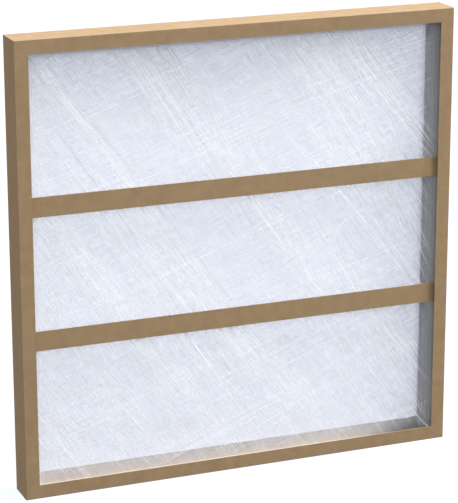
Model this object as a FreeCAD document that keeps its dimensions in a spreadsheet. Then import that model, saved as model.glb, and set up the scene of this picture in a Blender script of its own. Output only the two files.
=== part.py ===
"""Fiberglass panel air filter, 24 x 24 x 2 in nominal.

A die-cut sheet of chipboard is folded into an open box with a front and a rear flange. It holds
a pad of spun glass strands, which two chipboard straps keep in place from the front.

The front faces -Y and +Z is up. The origin is the middle of the edge that the filter stands on.
"""
import FreeCAD, Part
import math
import os

import Sketcher

doc = FreeCAD.newDocument("panel_air_filter")


# Driving dimensions, in millimetres, degrees and plain counts.
sizes = doc.addObject("Spreadsheet::Sheet", "sizes")
DIMENSIONS = [
    # The frame, measured over the outside of its folds.
    ("frame_width", 596.9),
    ("frame_height", 596.9),
    ("frame_depth", 44.45),
    ("front_flange", 18.3),
    ("rear_flange", 18.3),
    # The board of the frame and the straps, and the inside radius of its creases.
    ("board", 0.75),
    ("crease_radius", 0.3),
    # The corners: glued tabs, the glue under them, and the mitres of the rear flanges.
    ("corner_tab", 30.0),
    ("tab_setback", 2.0),
    ("glue_line", 0.15),
    ("mitre_gap", 1.0),
    # The straps: their height, how far they lie behind the front face, and where they cross.
    ("strap_height", 26.0),
    ("strap_recess", 5.0),
    ("strap_tab", 20.0),
    ("upper_strap_level", 384.6),
    ("lower_strap_level", 210.2),
    # The pad of glass: its play beside the tabs and the strands that stand out on its faces.
    ("pad_play", 0.4),
    ("strand_width", 1.6),
    ("strand_relief", 0.6),
    ("steep_strand_angle", 125.0),
    ("steep_strand_pitch", 23.0),
    ("cross_strand_relief", 0.4),
    ("cross_strand_angle", 20.0),
    ("cross_strand_pitch", 71.0),
]
for row, (alias, value) in enumerate(DIMENSIONS, start=1):
    sizes.set("A%d" % row, alias)
    sizes.set("B%d" % row, str(value))
    sizes.setAlias("B%d" % row, alias)
doc.recompute()

# Sketches start at this size, in millimetres, and their constraints then bring them to the real one.
DRAFT_SIZE = 100.0
# Two lengths nearer than this are the same.
SAME = 0.01


def new_body(name):
    """Starts one sub-part. Its Label is the name of its file."""
    body = doc.addObject("PartDesign::Body", name)
    body.Label = name
    return body


def origin_plane(body, role):
    """Finds one of the body's own base planes."""
    return next(item for item in body.Origin.OriginFeatures if item.Role == role)


def face_sketch(body, name, behind="0 mm", turned="0 deg"):
    """Adds a sketch that is seen from the front, a distance behind the body's middle plane."""
    sketch = body.newObject("Sketcher::SketchObject", name)
    sketch.AttachmentSupport = [(origin_plane(body, "XZ_Plane"), "")]
    sketch.MapMode = "FlatFace"
    sketch.setExpression("AttachmentOffset.Base.z", "-(%s)" % behind)
    sketch.setExpression("AttachmentOffset.Rotation.Angle", turned)
    return sketch


def lines(sketch, points):
    """Draws a closed outline of straight lines and returns the number of its first line."""
    first = sketch.GeometryCount
    corners = [FreeCAD.Vector(x, z, 0) for x, z in points]
    following = corners[1:] + corners[:1]
    for start, end in zip(corners, following):
        sketch.addGeometry(Part.LineSegment(start, end))
    count = len(corners)
    for step in range(count):
        after = first + (step + 1) % count
        sketch.addConstraint(Sketcher.Constraint("Coincident", first + step, 2, after, 1))
    return first


def bind(sketch, constraint, expression):
    """Adds a constraint whose size follows the sheet."""
    index = sketch.addConstraint(constraint)
    sketch.setExpression("Constraints[%d]" % index, expression)


def rectangle(sketch, wide, high):
    """Draws a rectangle about the sketch's origin. Both sizes are formulas on the sheet."""
    half = DRAFT_SIZE / 2
    first = lines(sketch, [(-half, -half), (half, -half), (half, half), (-half, half)])
    bottom, right, top, left = range(first, first + 4)
    for side in (bottom, top):
        sketch.addConstraint(Sketcher.Constraint("Horizontal", side))
    for side in (right, left):
        sketch.addConstraint(Sketcher.Constraint("Vertical", side))
    sketch.addConstraint(Sketcher.Constraint("Symmetric", bottom, 1, top, 1, -1, 1))
    bind(sketch, Sketcher.Constraint("DistanceX", bottom, 1, bottom, 2, DRAFT_SIZE), wide)
    bind(sketch, Sketcher.Constraint("DistanceY", right, 1, right, 2, DRAFT_SIZE), high)


def middle_pad(body, sketch, name, length):
    """Raises a sketch to both sides of its plane."""
    pad = body.newObject("PartDesign::Pad", name)
    pad.Profile = sketch
    pad.Midplane = True
    pad.setExpression("Length", length)
    return pad


def middle_pocket(body, sketch, name, length):
    """Cuts a sketch out to both sides of its plane."""
    pocket = body.newObject("PartDesign::Pocket", name)
    pocket.Profile = sketch
    pocket.Midplane = True
    pocket.setExpression("Length", length)
    return pocket


def edges_where(shape, test):
    """Names the straight edges whose middle passes a test."""
    names = []
    for number, edge in enumerate(shape.Edges, start=1):
        middle = edge.valueAt((edge.FirstParameter + edge.LastParameter) / 2)
        if edge.Curve.TypeId == "Part::GeomLine" and test(middle, edge.tangentAt(edge.FirstParameter)):
            names.append("Edge%d" % number)
    return names


def round_edges(body, name, base, test, radius):
    """Rounds the edges of a feature that pass a test."""
    doc.recompute()
    fillet = body.newObject("PartDesign::Fillet", name)
    fillet.Base = (base, edges_where(base.Shape, test))
    fillet.setExpression("Radius", radius)
    return fillet


def near(value, target):
    """Says whether two lengths are the same."""
    return abs(value - target) < SAME


# Folded frame: one sheet, creased along the four front edges and the four rear edges.
def make_frame():
    frame = new_body("frame")
    frame.setExpression("Placement.Base.z", "sizes.frame_height / 2")

    outline = face_sketch(frame, "frame_outline")
    rectangle(outline, "sizes.frame_width", "sizes.frame_height")
    block = middle_pad(frame, outline, "frame_block", "sizes.frame_depth")

    half_wide = sizes.frame_width / 2
    half_high = sizes.frame_height / 2
    half_deep = sizes.frame_depth / 2

    def on_outer_crease(middle, along):
        return near(abs(middle.y), half_deep) and near(along.y, 0)

    round_edges(frame, "outer_creases", block, on_outer_crease, "sizes.crease_radius + sizes.board")

    hollow = face_sketch(frame, "frame_hollow")
    rectangle(hollow, "sizes.frame_width - 2 * sizes.board", "sizes.frame_height - 2 * sizes.board")
    walls = middle_pocket(frame, hollow, "frame_walls", "sizes.frame_depth - 2 * sizes.board")

    inner_wide = half_wide - sizes.board
    inner_high = half_high - sizes.board
    inner_deep = half_deep - sizes.board

    def on_inner_crease(middle, along):
        beside_wall = near(abs(middle.x), inner_wide) or near(abs(middle.z), inner_high)
        return near(abs(middle.y), inner_deep) and beside_wall and near(along.y, 0)

    round_edges(frame, "inner_creases", walls, on_inner_crease, "sizes.crease_radius")

    # Each window is cut from its face's plane, so half of the cut's length goes into the board.
    through_board = "4 * sizes.board"
    front_window = face_sketch(frame, "front_window_outline", behind="-sizes.frame_depth / 2")
    rectangle(front_window, "sizes.frame_width - 2 * sizes.front_flange",
              "sizes.frame_height - 2 * sizes.front_flange")
    middle_pocket(frame, front_window, "front_window", through_board)

    rear_window = face_sketch(frame, "rear_window_outline", behind="sizes.frame_depth / 2")
    rectangle(rear_window, "sizes.frame_width - 2 * sizes.rear_flange",
              "sizes.frame_height - 2 * sizes.rear_flange")
    middle_pocket(frame, rear_window, "rear_window", through_board)

    add_corner(frame)
    return frame


# One corner of the frame, made at the upper left and mirrored to the other three. The side wall's
# end is folded under the top wall as a tab, and the two rear flanges meet in an open mitre.
def add_corner(frame):
    left = -sizes.frame_width / 2
    top = sizes.frame_height / 2
    board = sizes.board
    under_top = top - board - sizes.glue_line
    bend = sizes.crease_radius + board
    wall_reach = "(sizes.frame_depth - 2 * (sizes.board + sizes.crease_radius + sizes.tab_setback))"

    tab_sketch = face_sketch(frame, "corner_tab_outline")
    points = [(left + board / 2, under_top - board), (left + sizes.corner_tab, under_top - board),
              (left + sizes.corner_tab, under_top), (left + board / 2, under_top)]
    first = lines(tab_sketch, points)
    for side, way in enumerate(("Horizontal", "Vertical", "Horizontal", "Vertical")):
        tab_sketch.addConstraint(Sketcher.Constraint(way, first + side))
    bind(tab_sketch, Sketcher.Constraint("DistanceX", first, 1, -1, 1, -points[0][0]),
         "sizes.frame_width / 2 - sizes.board / 2")
    bind(tab_sketch, Sketcher.Constraint("DistanceX", first, 2, -1, 1, -points[1][0]),
         "sizes.frame_width / 2 - sizes.corner_tab")
    bind(tab_sketch, Sketcher.Constraint("DistanceY", -1, 1, first, 1, points[0][1]),
         "sizes.frame_height / 2 - 2 * sizes.board - sizes.glue_line")
    bind(tab_sketch, Sketcher.Constraint("DistanceY", first + 1, 1, first + 1, 2, board), "sizes.board")
    tab = middle_pad(frame, tab_sketch, "corner_tab", wall_reach)

    seam_sketch = face_sketch(frame, "corner_seam_outline")
    add_seam_outline(seam_sketch, left, top - board, under_top, bend)
    seam = middle_pocket(frame, seam_sketch, "corner_seam", wall_reach)

    mitre_sketch = face_sketch(frame, "mitre_outline", behind="sizes.frame_depth / 2")
    reach = sizes.rear_flange + sizes.mitre_gap
    half_gap = sizes.mitre_gap / 2 * math.sqrt(2)
    points = [(left, top - half_gap), (left + reach, top - half_gap - reach),
              (left + reach + half_gap, top - reach), (left + half_gap, top), (left, top)]
    add_mitre_outline(mitre_sketch, points)
    mitre = middle_pocket(frame, mitre_sketch, "mitre", "2 * (sizes.board + sizes.crease_radius)")

    corners = frame.newObject("PartDesign::MultiTransform", "four_corners")
    corners.Originals = [tab, seam, mitre]
    sideways = frame.newObject("PartDesign::Mirrored", "left_and_right")
    sideways.MirrorPlane = (origin_plane(frame, "YZ_Plane"), [""])
    upright = frame.newObject("PartDesign::Mirrored", "top_and_bottom")
    upright.MirrorPlane = (origin_plane(frame, "XY_Plane"), [""])
    corners.Transformations = [sideways, upright]
    frame.Tip = corners


def add_seam_outline(sketch, left, wall_under, tab_top, bend):
    """The air between the top wall's cut end and the rounded fold of the tab under it."""
    outside = sizes.board
    start = FreeCAD.Vector(left - outside, wall_under, 0)
    over = FreeCAD.Vector(left + bend, wall_under, 0)
    fold_top = FreeCAD.Vector(left + bend, tab_top, 0)
    fold_end = FreeCAD.Vector(left, tab_top - bend, 0)
    last = FreeCAD.Vector(left - outside, tab_top - bend, 0)
    centre = FreeCAD.Vector(left + bend, tab_top - bend, 0)
    circle = Part.Circle(centre, FreeCAD.Vector(0, 0, 1), bend)
    line_over = sketch.addGeometry(Part.LineSegment(start, over))
    line_down = sketch.addGeometry(Part.LineSegment(over, fold_top))
    arc = sketch.addGeometry(Part.ArcOfCircle(circle, math.pi / 2, math.pi))
    line_out = sketch.addGeometry(Part.LineSegment(fold_end, last))
    line_back = sketch.addGeometry(Part.LineSegment(last, start))
    joins = [(line_over, 2, line_down, 1), (line_down, 2, arc, 1), (arc, 2, line_out, 1),
             (line_out, 2, line_back, 1), (line_back, 2, line_over, 1)]
    for join in joins:
        sketch.addConstraint(Sketcher.Constraint("Coincident", *join))
    for line in (line_over, line_out):
        sketch.addConstraint(Sketcher.Constraint("Horizontal", line))
    for line in (line_down, line_back):
        sketch.addConstraint(Sketcher.Constraint("Vertical", line))
    sketch.addConstraint(Sketcher.Constraint("Vertical", arc, 3, line_down, 2))
    sketch.addConstraint(Sketcher.Constraint("Horizontal", arc, 3, arc, 2))
    bind(sketch, Sketcher.Constraint("Radius", arc, bend), "sizes.crease_radius + sizes.board")
    bind(sketch, Sketcher.Constraint("DistanceX", arc, 2, -1, 1, -left), "sizes.frame_width / 2")
    bind(sketch, Sketcher.Constraint("DistanceY", -1, 1, line_over, 2, wall_under),
         "sizes.frame_height / 2 - sizes.board")
    bind(sketch, Sketcher.Constraint("DistanceY", line_down, 2, line_down, 1, wall_under - tab_top),
         "sizes.glue_line")
    bind(sketch, Sketcher.Constraint("DistanceX", line_over, 1, arc, 2, outside), "sizes.board")


def add_mitre_outline(sketch, points):
    """A slot at 45 degrees from the outer corner to just past the flanges' inner corner."""
    first = lines(sketch, points)
    lower, end, upper, top_side, left_side = range(first, first + 5)
    sketch.addConstraint(Sketcher.Constraint("Parallel", lower, upper))
    sketch.addConstraint(Sketcher.Constraint("Angle", lower, math.radians(-45)))
    sketch.addConstraint(Sketcher.Constraint("Angle", end, math.radians(45)))
    sketch.addConstraint(Sketcher.Constraint("Horizontal", top_side))
    sketch.addConstraint(Sketcher.Constraint("Vertical", left_side))
    bind(sketch, Sketcher.Constraint("DistanceX", left_side, 1, -1, 1, -points[4][0]),
         "sizes.frame_width / 2")
    bind(sketch, Sketcher.Constraint("DistanceY", -1, 1, left_side, 1, points[4][1]),
         "sizes.frame_height / 2")
    bind(sketch, Sketcher.Constraint("Distance", end, 1, end, 2, sizes.mitre_gap), "sizes.mitre_gap")
    sketch.addConstraint(Sketcher.Constraint("Equal", top_side, left_side))
    bind(sketch, Sketcher.Constraint("DistanceX", lower, 1, lower, 2, points[1][0] - points[0][0]),
         "sizes.rear_flange + sizes.mitre_gap")


# Strap: a strip of the same board across the pad, its ends bent back and glued to the side walls.
def make_strap(name, level):
    strap = new_body(name)
    strap.setExpression("Placement.Base.y", "sizes.strap_recess - sizes.frame_depth / 2")
    strap.setExpression("Placement.Base.z", level)

    outline = face_sketch(strap, name + "_outline")
    rectangle(outline, "sizes.frame_width - 2 * sizes.board", "sizes.strap_height")
    block = strap.newObject("PartDesign::Pad", name + "_block")
    block.Profile = outline
    block.Reversed = True
    block.setExpression("Length", "sizes.strap_tab")

    inside = face_sketch(strap, name + "_inside", behind="sizes.board")
    rectangle(inside, "sizes.frame_width - 4 * sizes.board", "2 * sizes.strap_height")
    strip = strap.newObject("PartDesign::Pocket", name + "_strip")
    strip.Profile = inside
    strip.setExpression("Length", "sizes.strap_tab")

    outer_end = sizes.frame_width / 2 - sizes.board
    inner_end = outer_end - sizes.board

    def on_outer_bend(middle, along):
        return near(middle.y, 0) and near(abs(middle.x), outer_end) and near(abs(along.z), 1)

    def on_inner_bend(middle, along):
        return near(middle.y, sizes.board) and near(abs(middle.x), inner_end) and near(abs(along.z), 1)

    outer = round_edges(strap, name + "_outer_bends", strip, on_outer_bend,
                        "sizes.crease_radius + sizes.board")
    round_edges(strap, name + "_inner_bends", outer, on_inner_bend, "sizes.crease_radius")
    return strap


# Pad of spun glass: a slab between the straps and the rear flanges, just clear of the tabs at its
# edges. Bundles of strands stand out on both faces, most of them steep and a few nearly level.
def make_media_pad():
    pad = new_body("media_pad")
    pad_depth = "(sizes.frame_depth - sizes.strap_recess - 2 * sizes.board)"
    pad_width = "(sizes.frame_width - 2 * (2 * sizes.board + sizes.pad_play))"
    pad_height = "(sizes.frame_height - 2 * (2 * sizes.board + sizes.glue_line + sizes.pad_play))"
    pad.setExpression("Placement.Base.y", "sizes.strap_recess / 2")
    pad.setExpression("Placement.Base.z", "sizes.frame_height / 2")

    outline = face_sketch(pad, "pad_outline")
    rectangle(outline, pad_width, pad_height)
    middle_pad(pad, outline, "pad_slab", pad_depth + " - 2 * sizes.strand_relief")

    add_strands(pad, "steep_strand", pad_depth, pad_width, pad_height)
    cross_depth = "(%s - 2 * (sizes.strand_relief - sizes.cross_strand_relief))" % pad_depth
    add_strands(pad, "cross_strand", cross_depth, pad_width, pad_height)
    return pad


def add_strands(pad, name, length, pad_width, pad_height):
    """Lays one set of parallel strand bundles across the slab, from corner to corner."""
    cosine = "abs(cos(sizes.%s_angle))" % name
    sine = "abs(sin(sizes.%s_angle))" % name
    reach = "(%s * %s + %s * %s)" % (pad_width, cosine, pad_height, sine)
    spread = "(%s * %s + %s * %s)" % (pad_width, sine, pad_height, cosine)
    count = "(floor(%s / sizes.%s_pitch) + 1)" % (spread, name)
    sketch = face_sketch(pad, name + "_outline", turned="sizes.%s_angle" % name)
    half = DRAFT_SIZE / 2
    width = sizes.strand_width
    first = lines(sketch, [(-half, -half), (half, -half), (half, width - half), (-half, width - half)])
    bottom, right, top, left = range(first, first + 4)
    sketch.addConstraint(Sketcher.Constraint("Horizontal", top))
    for side in (right, left):
        sketch.addConstraint(Sketcher.Constraint("Vertical", side))
    sketch.addConstraint(Sketcher.Constraint("Symmetric", bottom, 1, bottom, 2, -2))
    bind(sketch, Sketcher.Constraint("DistanceX", bottom, 1, bottom, 2, DRAFT_SIZE), reach)
    bind(sketch, Sketcher.Constraint("DistanceY", right, 1, right, 2, width), "sizes.strand_width")
    bind(sketch, Sketcher.Constraint("DistanceY", bottom, 1, -1, 1, half),
         "((%s - 1) * sizes.%s_pitch + sizes.strand_width) / 2" % (count, name))
    strand = middle_pad(pad, sketch, name, length)

    row = pad.newObject("PartDesign::LinearPattern", name + "_row")
    row.Originals = [strand]
    row.Direction = (sketch, ["V_Axis"])
    row.setExpression("Occurrences", count)
    row.setExpression("Length", "(%s - 1) * sizes.%s_pitch" % (count, name))
    pad.Tip = row

    edges = face_sketch(pad, name + "_trim_outline")
    rectangle(edges, pad_width, pad_height)
    rectangle(edges, "2 * " + reach, "2 * " + reach)
    trim = middle_pocket(pad, edges, name + "_trim", "2 * " + length)
    pad.Tip = trim


parts = [
    make_frame(),
    make_media_pad(),
    make_strap("strap_upper", "sizes.upper_strap_level"),
    make_strap("strap_lower", "sizes.lower_strap_level"),
]
doc.recompute()

# Every object has to be sound before anything is written.
for item in doc.Objects:
    if "Invalid" in item.State or "Error" in item.State:
        raise RuntimeError("%s did not build: %s" % (item.Name, item.State))
for part in parts:
    if part.Shape.isNull() or not part.Shape.isValid():
        raise RuntimeError("%s is not a sound solid" % part.Label)

os.makedirs("parts", exist_ok=True)
for part in parts:
    part.Shape.exportStep(os.path.join("parts", part.Label + ".step"))
    box = part.Shape.BoundBox
    print("%s: %d solid, %.0f mm3, x %.2f to %.2f, y %.3f to %.3f, z %.2f to %.2f" % (
        part.Label, len(part.Shape.Solids), part.Shape.Volume,
        box.XMin, box.XMax, box.YMin, box.YMax, box.ZMin, box.ZMax))
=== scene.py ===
import math

import bmesh
import bpy
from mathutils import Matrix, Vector, noise
import numpy as np


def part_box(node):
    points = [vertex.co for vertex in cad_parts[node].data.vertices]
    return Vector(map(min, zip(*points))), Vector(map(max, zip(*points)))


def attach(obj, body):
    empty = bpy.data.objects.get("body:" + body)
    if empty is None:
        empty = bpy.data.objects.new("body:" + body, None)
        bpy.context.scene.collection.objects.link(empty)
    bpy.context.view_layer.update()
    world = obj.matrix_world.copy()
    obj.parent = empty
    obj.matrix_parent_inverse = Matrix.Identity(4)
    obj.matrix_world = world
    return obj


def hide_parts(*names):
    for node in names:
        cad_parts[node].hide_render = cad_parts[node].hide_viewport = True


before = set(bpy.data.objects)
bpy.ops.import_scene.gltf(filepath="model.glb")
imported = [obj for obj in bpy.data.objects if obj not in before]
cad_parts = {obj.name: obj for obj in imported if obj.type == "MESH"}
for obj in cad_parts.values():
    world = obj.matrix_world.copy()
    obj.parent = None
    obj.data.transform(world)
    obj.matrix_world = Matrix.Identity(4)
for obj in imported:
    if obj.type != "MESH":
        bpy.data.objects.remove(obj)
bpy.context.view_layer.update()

# Folded frame
# One die-cut sheet of brown kraft chipboard, 0.75 mm thick, scored and folded into a shallow box.
# The paper is rubbed along the folds, and the cut edges of the two windows show the paler core.
# The filter is square, so half its width is half its height too.

frame_low, frame_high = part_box("frame")
frame_middle = (frame_low + frame_high) / 2
half_width = frame_high.x
half_depth = frame_high.y
board = 0.00075
crease_reach = 0.0014
least_rubbed = 0.1
most_rubbed = 0.75
bare_at_cut = 0.9
just_inside = 0.00002
kraft_dark = (0.292, 0.196, 0.106, 1)
kraft_light = (0.385, 0.262, 0.148, 1)
pale_back = (0.80, 0.68, 0.54, 1)
bare_core = (0.45, 0.34, 0.23, 1)
dark_fibre = (0.21, 0.13, 0.07, 1)
clouds_a_metre = 75
fibres_a_metre = 1400
specks_a_metre = 420
fibre_height = 0.0002


class Finish:
    """A material with Principled BSDF, and short ways to add nodes to it."""

    def __init__(self, name):
        self.material = bpy.data.materials.new(name)
        self.material.use_nodes = True
        self.nodes = self.material.node_tree.nodes
        self.links = self.material.node_tree.links
        self.surface = self.nodes["Principled BSDF"]

    def add(self, kind, inputs=(), **settings):
        """Adds a node. inputs are (socket, value) pairs, and a value may be another node's output."""
        node = self.nodes.new("ShaderNode" + kind)
        for name, value in settings.items():
            setattr(node, name, value)
        for socket, value in inputs:
            if isinstance(value, bpy.types.NodeSocket):
                self.links.new(value, node.inputs[socket])
            else:
                node.inputs[socket].default_value = value
        return node

    def put(self, socket, value):
        """Gives a socket of the surface a value or a node's output."""
        if isinstance(value, bpy.types.NodeSocket):
            self.links.new(value, self.surface.inputs[socket])
        else:
            self.surface.inputs[socket].default_value = value

    def show(self, shader):
        """Shows a shader in place of the plain surface."""
        self.links.new(shader.outputs[0], self.nodes["Material Output"].inputs["Surface"])

    def place(self, shift=(0, 0, 0)):
        """Object coordinates, shifted."""
        coordinates = self.add("TexCoord")
        mapping = self.add("Mapping", [("Vector", coordinates.outputs["Object"])])
        mapping.inputs["Location"].default_value = shift
        return mapping.outputs["Vector"]

    def along(self, angle, stretch):
        """Object coordinates drawn out along strands that lie at this angle from the filter's width."""
        coordinates = self.add("TexCoord")
        inputs = [("Vector", coordinates.outputs["Object"])]
        mapping = self.add("Mapping", inputs, vector_type="TEXTURE")
        mapping.inputs["Rotation"].default_value = (0, math.pi / 2 - angle, 0)
        mapping.inputs["Scale"].default_value = (1, 1, stretch)
        return mapping.outputs["Vector"]

    def noise(self, place, scale, detail=2, roughness=0.5):
        """Noise of about the given number of blotches a metre."""
        inputs = [("Vector", place), ("Scale", scale), ("Detail", detail), ("Roughness", roughness)]
        return self.add("TexNoise", inputs).outputs["Fac"]

    def span(self, value, start, end, low=0, high=1):
        """value from start to end becomes low to high, and stays inside them."""
        inputs = [("Value", value), ("From Min", start), ("From Max", end)]
        inputs += [("To Min", low), ("To Max", high)]
        return self.add("MapRange", inputs).outputs["Result"]

    def math(self, operation, first, second=0.5):
        """One step of arithmetic on one value or two."""
        return self.add("Math", [(0, first), (1, second)], operation=operation).outputs[0]

    def mix(self, amount, first, second):
        """One colour mixed with another."""
        inputs = [("Factor", amount), (6, first), (7, second)]
        return self.add("Mix", inputs, data_type="RGBA").outputs[2]


def chipboard(name, shift, on_back=None):
    """Kraft chipboard: a cloudy brown with short fibres, a few dark specks and a soft fibrous bump.
    on_back is a function that tells where the board's paler back shows."""
    finish = Finish(name)
    place = finish.place(shift)
    clouds = finish.noise(place, clouds_a_metre, detail=5, roughness=0.65)
    fibres = finish.noise(place, fibres_a_metre, detail=3, roughness=0.7)
    tone = finish.math("ADD", clouds, finish.math("MULTIPLY", fibres, 0.5))
    colour = finish.mix(finish.span(tone, 0.5, 1.0), kraft_dark, kraft_light)
    specks = finish.add("TexVoronoi", [("Vector", place), ("Scale", specks_a_metre)])
    speck = finish.span(specks.outputs["Distance"], 0.16, 0.05, 0, 0.55)
    colour = finish.mix(speck, colour, dark_fibre)
    if on_back:
        back = finish.math("MULTIPLY", on_back(finish), 0.85)
        colour = finish.mix(back, colour, pale_back)
    colour = finish.mix(folds_and_edges(finish, fibres), colour, bare_core)
    finish.put("Base Color", colour)
    finish.put("Roughness", finish.span(clouds, 0.3, 0.7, 0.70, 0.84))
    finish.put("Specular IOR Level", 0.3)
    bump = finish.add("Bump", [("Height", fibres), ("Strength", 0.25), ("Distance", fibre_height)])
    finish.put("Normal", bump.outputs["Normal"])
    return finish.material


def from_middle(finish):
    """How far a point is from the frame's middle across, in depth and in height."""
    centred = finish.place((0, 0, -frame_middle.z))
    parts = finish.add("SeparateXYZ", [("Vector", centred)])
    return [finish.math("ABSOLUTE", parts.outputs[axis]) for axis in "XYZ"]


def inside_frame(finish):
    """1 on the frame's inner faces, which are the back of its board."""
    across, deep, high = from_middle(finish)
    side = finish.math("LESS_THAN", finish.math("MAXIMUM", across, high), half_width - board / 2)
    return finish.math("MULTIPLY", side, finish.math("LESS_THAN", deep, half_depth - board / 2))


def folds_and_edges(finish, fibres):
    """How bare the core is: somewhat along the creases, and nearly all on the windows' cut edges."""
    across, deep, high = from_middle(finish)
    side = finish.span(across, half_width - crease_reach, half_width)
    face = finish.span(deep, half_depth - crease_reach, half_depth)
    end = finish.span(high, half_width - crease_reach, half_width)
    crease = finish.math("MULTIPLY", face, finish.math("MAXIMUM", side, end))
    crease = finish.math("MAXIMUM", crease, finish.math("MULTIPLY", side, end))
    paper_off = finish.span(fibres, 0.35, 0.7, least_rubbed, most_rubbed)
    rubbed = finish.math("MULTIPLY", crease, paper_off)
    normal = finish.add("SeparateXYZ", [("Vector", finish.add("NewGeometry").outputs["Normal"])])
    sideways = finish.math("LESS_THAN", finish.math("ABSOLUTE", normal.outputs["Y"]), 0.5)
    in_flange = finish.math("GREATER_THAN", deep, half_depth - board - just_inside)
    inside = finish.math("LESS_THAN", finish.math("MAXIMUM", across, high), half_width - 2 * board)
    cut = finish.math("MULTIPLY", finish.math("MULTIPLY", sideways, in_flange), inside)
    return finish.math("MAXIMUM", rubbed, finish.math("MULTIPLY", cut, bare_at_cut))


def dress(node, material):
    """Gives a CAD node its finish in each of its material slots."""
    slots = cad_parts[node].material_slots
    for slot in slots:
        slot.material = material
    if not slots:
        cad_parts[node].data.materials.append(material)


dress("frame", chipboard("frame_chipboard", (0, 0, 0), inside_frame))

# Spun glass pad
# Long glass filaments wound crosswise, cut to size and tacked into a springy pad about 38 mm thick.
# Most strands slant steeply one way in loose bundles, and fewer cross them at a low angle.
# Strands that can be told apart are threads, and the finer ones between them are plies of haze.

pad_low, pad_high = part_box("media_pad")
glass_shade = (0.87, 0.885, 0.93, 1)
glass_bright = (0.95, 0.96, 0.987, 1)
# Painted shade: the darker grey that the haze turns towards its right end and under the top flange.
glass_painted_shade = (0.72, 0.74, 0.79, 1)
steep_angle = math.radians(125)
steep_spread = math.radians(3)
cross_angle = math.radians(20)
cross_spread = math.radians(4)
steep_way = steep_angle, steep_spread
cross_way = cross_angle, cross_spread
short_strands = 0.10, 0.40
middling_strands = 0.15, 0.45
long_strands = 0.20, 0.50
strand_radius = 0.00005
strand_step = 0.04
outer_layer = 0.003

# How far strands bow, slope and fall short of the pad's sides at random, and bundles spread.
strand_bow = 0.03
strand_slope = 0.02
uneven_ends = 0.035
bundle_slip = 0.12
bundle_turn = 0.001
bundle_depth = 0.0005
draw = np.random.default_rng(24)

ply_count = 3
ply_gap = 0.0004
haze_cells = 120
haze_loft = 0.0006
waves_a_metre = 45
crumples_a_metre = 110
line_height = 0.0005
haze_tint = (0.977, 0.981, 0.993, 1)
haze_thin = 0.08
haze_thick = 0.23
haze_packed = 0.5
# The border where the haze is packed denser. Under the top flange, the same border also carries the
# haze's painted shade.
packed_and_shaded_border = half_width - 0.034, half_width - 0.014
side_edge = half_width - 0.020, half_width - 0.010
foot_edge = -half_width, 0.03 - half_width
# From the middle across: where the painted shade at the haze's right end starts, and where it is full.
painted_shade_right = 0.13, 0.27


def strand_glass():
    """White glossy glass filaments, with a slightly darker and bluer tone here and there."""
    finish = Finish("spun_glass_strands")
    streaks = finish.noise(finish.along(steep_angle, 12), 260)
    colour = finish.mix(finish.span(streaks, 0.25, 0.5), glass_shade, glass_bright)
    finish.put("Base Color", colour)
    finish.put("Roughness", 0.3)
    finish.put("Specular IOR Level", 1.0)
    finish.put("Coat Weight", 0.7)
    finish.put("Coat Roughness", 0.2)
    return finish.material


def lines_along(finish, angle, stretch, lines_a_metre, start):
    """Lines that run at an angle, about stretch times as long as they are wide. A higher start leaves
    fewer of them."""
    streaks = finish.noise(finish.along(angle, stretch), lines_a_metre, detail=1)
    return finish.span(streaks, start, 0.68)


def fine_lines(finish):
    """Short lines along both windings all over, and long steep ones that gather in patches."""
    patches = finish.span(finish.noise(finish.place(), 14), 0.45, 0.60, 0.05, 0.6)
    long_steep = lines_along(finish, steep_angle, stretch=120, lines_a_metre=560, start=0.52)
    long_steep = finish.math("MULTIPLY", long_steep, patches)
    steep = lines_along(finish, steep_angle, stretch=14, lines_a_metre=700, start=0.50)
    cross = lines_along(finish, cross_angle, stretch=18, lines_a_metre=700, start=0.50)
    return finish.math("MAXIMUM", long_steep, finish.math("MAXIMUM", steep, cross))


def haze_thickness(finish, weave, across, high):
    """How much of the haze is glass. It is packed denser towards the side flanges and under the top
    one, and it thins out against the side walls and at the foot, where the board shows through."""
    thickness = finish.span(weave, 0.1, 1.2, haze_thin, haze_thick)
    packed = finish.span(across, *packed_and_shaded_border, 0, haze_packed)
    thickness = finish.math("MAXIMUM", thickness, packed)
    side = finish.span(across, *side_edge, 1, 0.25)
    foot = finish.span(high, *foot_edge, 0.3, 1.1)
    thickness = finish.math("MULTIPLY", thickness, finish.math("MULTIPLY", side, foot))
    return finish.math("MAXIMUM", thickness, finish.span(high, *packed_and_shaded_border, 0, haze_packed))


def fine_glass():
    """The filaments too fine to lay one by one: a see-through white haze with fine lines in it. Its
    colour
    has painted shade: it is greyer towards its right end and under the top flange, where their shade
    falls."""
    finish = Finish("spun_glass_haze")
    lines = fine_lines(finish)
    broad = finish.span(finish.noise(finish.along(steep_angle, 14), 80, detail=3), 0.3, 0.7)
    weave = finish.math("ADD", lines, finish.math("MULTIPLY", broad, 0.2))
    colour = finish.mix(finish.span(weave, 0.1, 1), glass_shade, glass_bright)
    centred = finish.add("SeparateXYZ", [("Vector", finish.place((0, 0, -frame_middle.z)))])
    right, high = centred.outputs["X"], centred.outputs["Z"]
    # Painted shade: the glass colour turns to a darker grey near the right wall and under the top
    # flange, where their shade falls.
    painted_shade = finish.span(right, *painted_shade_right)
    painted_shade = finish.math("MAXIMUM", painted_shade, finish.span(high, *packed_and_shaded_border))
    finish.put("Base Color", finish.mix(painted_shade, colour, glass_painted_shade))
    finish.put("Roughness", 0.5)
    finish.put("Specular IOR Level", 0.8)
    bump = finish.add("Bump", [("Height", lines), ("Strength", 0.3), ("Distance", line_height)])
    finish.put("Normal", bump.outputs["Normal"])
    clear = finish.add("BsdfTransparent", [("Color", haze_tint)])
    thickness = haze_thickness(finish, weave, finish.math("ABSOLUTE", right), high)
    inputs = [(0, thickness), (1, clear.outputs[0]), (2, finish.surface.outputs[0])]
    finish.show(finish.add("MixShader", inputs))
    return finish.material


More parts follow.
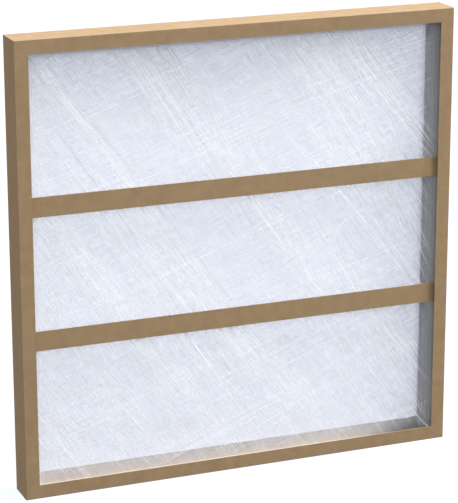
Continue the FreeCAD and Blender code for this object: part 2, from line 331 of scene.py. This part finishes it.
def loose_strands(count, angle, spread, lengths, depths, thickness):
    """Strands lying about one way. Each is a middle, an angle, a length and a thickness, which is a
    multiple of strand_radius."""
    return np.column_stack([
        draw.uniform(pad_low.x, pad_high.x, count),
        draw.uniform(*depths, count),
        draw.uniform(pad_low.z, pad_high.z, count),
        draw.normal(angle, spread, count),
        draw.uniform(*lengths, count),
        draw.uniform(0.6, 1.4, count) * thickness,
    ])


def side_by_side(leaders, each, width, turn):
    """Puts strands beside each one that is given, about as far away as width, and turned a little."""
    strands = np.repeat(leaders, each, axis=0)
    total = len(strands)
    x, y, z, angle, length, thickness = strands.T
    aside = draw.normal(0, width, total)
    shift = draw.normal(0, bundle_slip, total) * length
    x += shift * np.cos(angle) - aside * np.sin(angle)
    z += shift * np.sin(angle) + aside * np.cos(angle)
    y += draw.normal(0, min(width, bundle_depth), total)
    angle += draw.normal(0, turn, total)
    thickness *= draw.uniform(0.7, 1.3, total)
    return strands


def in_bundles(leaders, beside, width, turn, each, bundle_width):
    """Puts looser strands beside each leader first, and then a tight bundle round every strand."""
    loose = side_by_side(leaders, beside, width, turn)
    return side_by_side(loose, each, bundle_width, bundle_turn)


def paths_inside_pad(strands):
    """Each strand's points and thickness. A strand bows a little and ends inside the pad's sides."""
    for x, y, z, angle, length, thickness in strands:
        cut_back = abs(draw.normal(0, uneven_ends))
        margin = 2 * strand_radius + cut_back * np.array([1, 0, 1])
        low = np.array(pad_low) + margin
        high = np.array(pad_high) - margin
        middle = np.array([x, z])
        heading = np.array([math.cos(angle), math.sin(angle)])
        aside = np.array([-heading[1], heading[0]])
        to_low = (low[[0, 2]] - middle) / heading
        to_high = (high[[0, 2]] - middle) / heading
        start = max(np.minimum(to_low, to_high).max(), -length / 2)
        stop = min(np.maximum(to_low, to_high).min(), length / 2)
        bow = draw.normal(0, strand_bow)
        slope = draw.normal(0, strand_slope)
        if stop - start < strand_step / 2:
            continue
        reach = np.linspace(start, stop, max(1, round((stop - start) / strand_step)) + 1)
        bowed = bow * (reach - start) * (stop - reach)
        flat = middle + np.outer(reach, heading) + np.outer(bowed, aside)
        points = np.column_stack([flat[:, 0], y + slope * reach, flat[:, 1]])
        yield points.clip(low, high), thickness


def declare_pad(piece):
    """Says that a piece is part of the spun glass pad. It casts no shadow, because clear glass sends
    the light on."""
    piece.visible_shadow = False
    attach(piece, "root")
    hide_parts("media_pad")


def lay_haze(name, front, depth, material):
    """One ply of haze: a slab with a slightly lofted, uneven face on both sides."""
    shape = bmesh.new()
    size = Vector((pad_high.x - pad_low.x, depth, pad_high.z - pad_low.z))
    middle = Vector((0, front + depth / 2, (pad_low.z + pad_high.z) / 2))
    bmesh.ops.create_cube(shape, size=1.0)
    bmesh.ops.scale(shape, vec=size, verts=shape.verts)
    upright = [e for e in shape.edges if abs(e.verts[0].co.z - e.verts[1].co.z) > size.z / 2]
    level = [e for e in shape.edges if abs(e.verts[0].co.x - e.verts[1].co.x) > size.x / 2]
    bmesh.ops.subdivide_edges(shape, edges=upright + level, cuts=haze_cells, use_grid_fill=True)
    bmesh.ops.translate(shape, vec=middle, verts=shape.verts)
    for vert in shape.verts:
        wave = noise.noise(vert.co * waves_a_metre)
        crumple = noise.noise(vert.co * crumples_a_metre)
        vert.co.y += haze_loft * (wave + 0.5 * crumple)
    mesh = bpy.data.meshes.new(name)
    shape.to_mesh(mesh)
    shape.free()
    mesh.materials.append(material)
    mesh.shade_smooth()
    ply = bpy.data.objects.new(name, mesh)
    bpy.context.scene.collection.objects.link(ply)
    declare_pad(ply)


def thread_section():
    """A three-sided section, one metre out from its middle, which a strand's bevel scales down."""
    section = bpy.data.curves.new("thread_section", "CURVE")
    spline = section.splines.new("POLY")
    spline.points.add(2)
    for point, turn in zip(spline.points, (0, 120, 240)):
        point.co = (math.cos(math.radians(turn)), math.sin(math.radians(turn)), 0, 1)
    spline.use_cyclic_u = True
    outline = bpy.data.objects.new("thread_section", section)
    bpy.context.scene.collection.objects.link(outline)
    return outline


def lay_ply(name, strands, section, material):
    """One ply of the pad: every strand is a thin three-sided thread with closed ends."""
    threads = bpy.data.curves.new(name, "CURVE")
    threads.dimensions = "3D"
    threads.bevel_mode = "OBJECT"
    threads.bevel_object = section
    threads.use_fill_caps = True
    for points, thickness in paths_inside_pad(strands):
        spline = threads.splines.new("POLY")
        spline.points.add(len(points) - 1)
        spline.points.foreach_set("co", np.column_stack([points, np.ones(len(points))]).ravel())
        spline.points.foreach_set("radius", np.full(len(points), thickness * strand_radius))
    drawn = bpy.data.objects.new(name + "_threads", threads)
    bpy.context.scene.collection.objects.link(drawn)
    evaluated = drawn.evaluated_get(bpy.context.evaluated_depsgraph_get())
    ply = bpy.data.objects.new(name, bpy.data.meshes.new_from_object(evaluated))
    bpy.data.objects.remove(drawn)
    bpy.data.curves.remove(threads)
    bpy.context.scene.collection.objects.link(ply)
    ply.data.materials.clear()
    ply.data.materials.append(material)
    ply.data.shade_smooth()
    declare_pad(ply)


haze = fine_glass()
haze_front = pad_low.y + 2 * haze_loft
haze_depth = (pad_high.y - pad_low.y - 4 * haze_loft) / ply_count
for number in range(ply_count):
    ply_front = haze_front + number * haze_depth
    lay_haze(f"pad_ply_{number + 1}", ply_front, haze_depth - ply_gap, haze)

glass = strand_glass()
section = thread_section()
anywhere = pad_low.y, pad_high.y
near_front = pad_low.y, pad_low.y + outer_layer
near_back = pad_high.y - outer_layer, pad_high.y
front_steep = loose_strands(64, *steep_way, short_strands, near_front, thickness=0.7)
front_cross = loose_strands(34, *cross_way, long_strands, near_front, thickness=0.35)
back_steep = loose_strands(24, *steep_way, short_strands, near_back, thickness=0.5)
plies = {
    "pad_loose_steep": loose_strands(260, *steep_way, middling_strands, anywhere, thickness=0.6),
    "pad_loose_cross": loose_strands(300, *cross_way, middling_strands, anywhere, thickness=0.5),
    "pad_front_steep": in_bundles(
        front_steep, beside=5, width=0.010, turn=0.006, each=7, bundle_width=0.0003),
    "pad_front_cross": in_bundles(
        front_cross, beside=4, width=0.012, turn=0.025, each=5, bundle_width=0.0003),
    "pad_back_steep": in_bundles(
        back_steep, beside=5, width=0.010, turn=0.006, each=4, bundle_width=0.0004),
}
for ply_name, ply_strands in plies.items():
    lay_ply(ply_name, ply_strands, section, glass)
bpy.data.objects.remove(section)

# Straps
# Two strips of the same chipboard cross the front of the pad and keep it in the frame.
# Their ends are bent back and glued to the side walls.

dress("strap_upper", chipboard("upper_strap_chipboard", (1.3, 0.4, 0.2)))
dress("strap_lower", chipboard("lower_strap_chipboard", (-0.7, 0.9, 2.1)))

# Floor and studio
# A plain pale floor that keeps a soft shadow, an even white room, and one large soft lamp
# high to the right of the front.

floor_size = 40.0
floor_glow = (0.875, 0.91, 1.0, 1)
floor_shade = (0.10, 0.10, 0.10, 1)
floor_bounce = (0.03, 0.03, 0.03, 1)
room_white = (1, 1, 1, 1)
lamp_way = Vector((0.45, -0.245, 0.86)).normalized()
lamp_distance = 8.0
lamp_size = 2.4
lamp_level = 1.493


def floor_finish():
    """White with a faint shadow where it is seen, straight on, in gloss or through glass. It is dark
    for all other light, so that it lights nothing from below."""
    finish = Finish("pale_floor")
    finish.nodes.remove(finish.surface)
    glow = finish.add("Emission", [("Color", floor_glow)])
    shade = finish.add("BsdfDiffuse", [("Color", floor_shade)])
    seen = finish.add("AddShader", [(0, glow.outputs[0]), (1, shade.outputs[0])])
    unseen = finish.add("BsdfDiffuse", [("Color", floor_bounce)])
    ray = finish.add("LightPath").outputs
    looked_at = finish.math("MAXIMUM", ray["Is Camera Ray"], ray["Is Glossy Ray"])
    looked_at = finish.math("MAXIMUM", looked_at, ray["Is Transmission Ray"])
    inputs = [(0, looked_at), (1, unseen.outputs[0]), (2, seen.outputs[0])]
    finish.show(finish.add("MixShader", inputs))
    return finish.material


floor_mesh = bpy.data.meshes.new("floor")
floor_shape = bmesh.new()
bmesh.ops.create_grid(floor_shape, x_segments=1, y_segments=1, size=floor_size / 2)
floor_shape.to_mesh(floor_mesh)
floor_shape.free()
floor = bpy.data.objects.new("floor", floor_mesh)
floor.data.materials.append(floor_finish())
bpy.context.scene.collection.objects.link(floor)

room = bpy.data.worlds.new("white_room")
room.use_nodes = True
room.node_tree.nodes["Background"].inputs["Color"].default_value = room_white
bpy.context.scene.world = room

# The lamp's watts follow from its distance, so lamp_level alone says how bright its light is.
lamp = bpy.data.objects.new("soft_lamp", bpy.data.lights.new("soft_lamp", "AREA"))
lamp.data.shape = "DISK"
lamp.data.size = lamp_size
lamp.data.energy = lamp_level * (math.pi * lamp_distance) ** 2
lamp.location = frame_middle + lamp_way * lamp_distance
lamp.rotation_euler = lamp_way.to_track_quat("Z", "Y").to_euler()
bpy.context.scene.collection.objects.link(lamp)

# Camera
# It stands nearly three metres away, to the left of the front and higher than the filter's top.
# It has a long lens and looks down a little.

camera = bpy.data.objects.new("camera", bpy.data.cameras.new("camera"))
camera.data.sensor_width = 36.0
camera.data.lens = 159.43
camera.location = (-1.04798, -2.57415, 1.10705)
camera.rotation_euler = (1.28593, 0.00179, -0.38400)
bpy.context.scene.collection.objects.link(camera)
bpy.context.scene.camera = camera
bpy.context.scene.view_settings.view_transform = "Standard"
